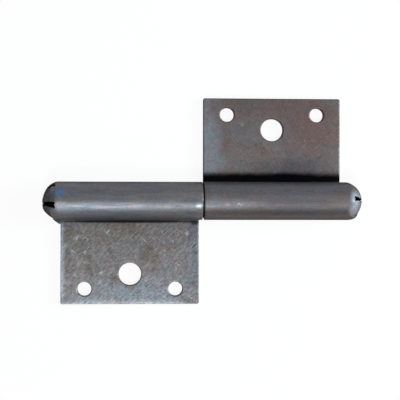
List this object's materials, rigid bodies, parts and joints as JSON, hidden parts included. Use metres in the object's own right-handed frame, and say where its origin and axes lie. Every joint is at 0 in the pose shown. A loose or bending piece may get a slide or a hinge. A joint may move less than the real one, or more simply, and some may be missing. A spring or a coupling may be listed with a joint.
{
  "type": "lift-off window hinge",
  "caption": "Lift-off flag hinge of rolled sheet steel, with a pin between two domed knuckles and a flat punched leaf on each.",
  "frame": {"origin": "on the mounting plane of the leaves, straight below the middle of the pin axis", "axes": "+X along the pin axis from the fixed half to the lift-off half, +Y towards the lift-off leaf's outer edge, +Z away from the mounting plane"},
  "size_m": [0.11, 0.0716, 0.0131],
  "materials": {
    "fixed_leaf_steel": "bare rolled steel, oily and lightly scratched",
    "lift_off_leaf_steel": "bare rolled steel with a brownish mill film",
    "pin_steel": "drawn bright steel",
    "washer_steel": "plain steel"
  },
  "bodies": {
    "fixed_half": {"fixed_leaf": "fixed_leaf_steel", "pin": "pin_steel"},
    "washer": {"thrust_washer": "washer_steel"},
    "lift_off_half": {"lift_off_leaf": "lift_off_leaf_steel"}
  },
  "joints": [
    {"name": "leaf_swing", "type": "hinge", "parent": "fixed_half", "child": "washer", "pos_m": [0, 0, 0.00655], "axis": [1, 0, 0], "continuous": true},
    {"name": "lift_off", "type": "slide", "parent": "washer", "child": "lift_off_half", "axis": [1, 0, 0], "range_m": [0, 0.042]}
  ]
}
